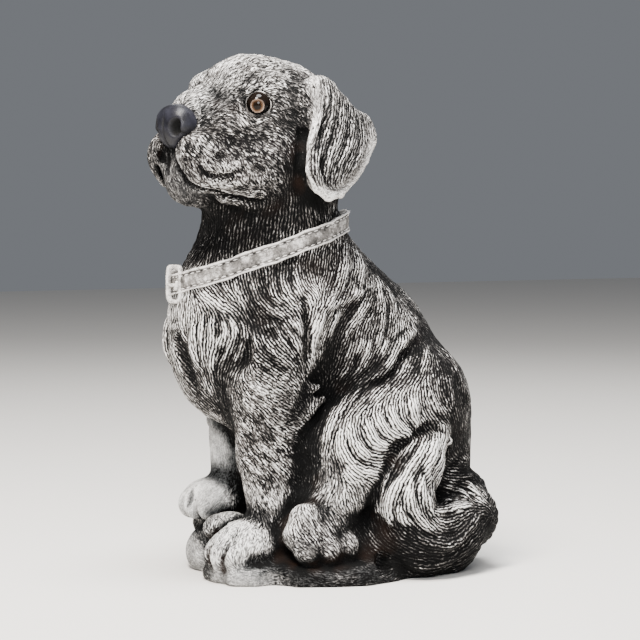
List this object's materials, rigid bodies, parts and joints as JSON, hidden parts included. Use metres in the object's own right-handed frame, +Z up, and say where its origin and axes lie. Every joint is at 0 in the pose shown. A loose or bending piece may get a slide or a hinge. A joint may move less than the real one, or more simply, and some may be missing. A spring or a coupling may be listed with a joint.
{
  "type": "concrete dog statue",
  "caption": "Seated puppy cast in one piece of weathered concrete, with collar and buckle, head turned to its left, tail curled round its thigh, on a low uneven mound.",
  "frame": {"origin": "middle of the casting's box, on the ground plane under its flat underside", "axes": "-Y is the way the dog's body faces, +X is its left side, +Z is up"},
  "size_m": [0.1356, 0.1773, 0.2508],
  "materials": {
    "cast_concrete": "matt, dark in the hollows and rubbed pale on the ridges"
  },
  "bodies": {
    "root": {"dog_statue": "cast_concrete"}
  },
  "joints": []
}
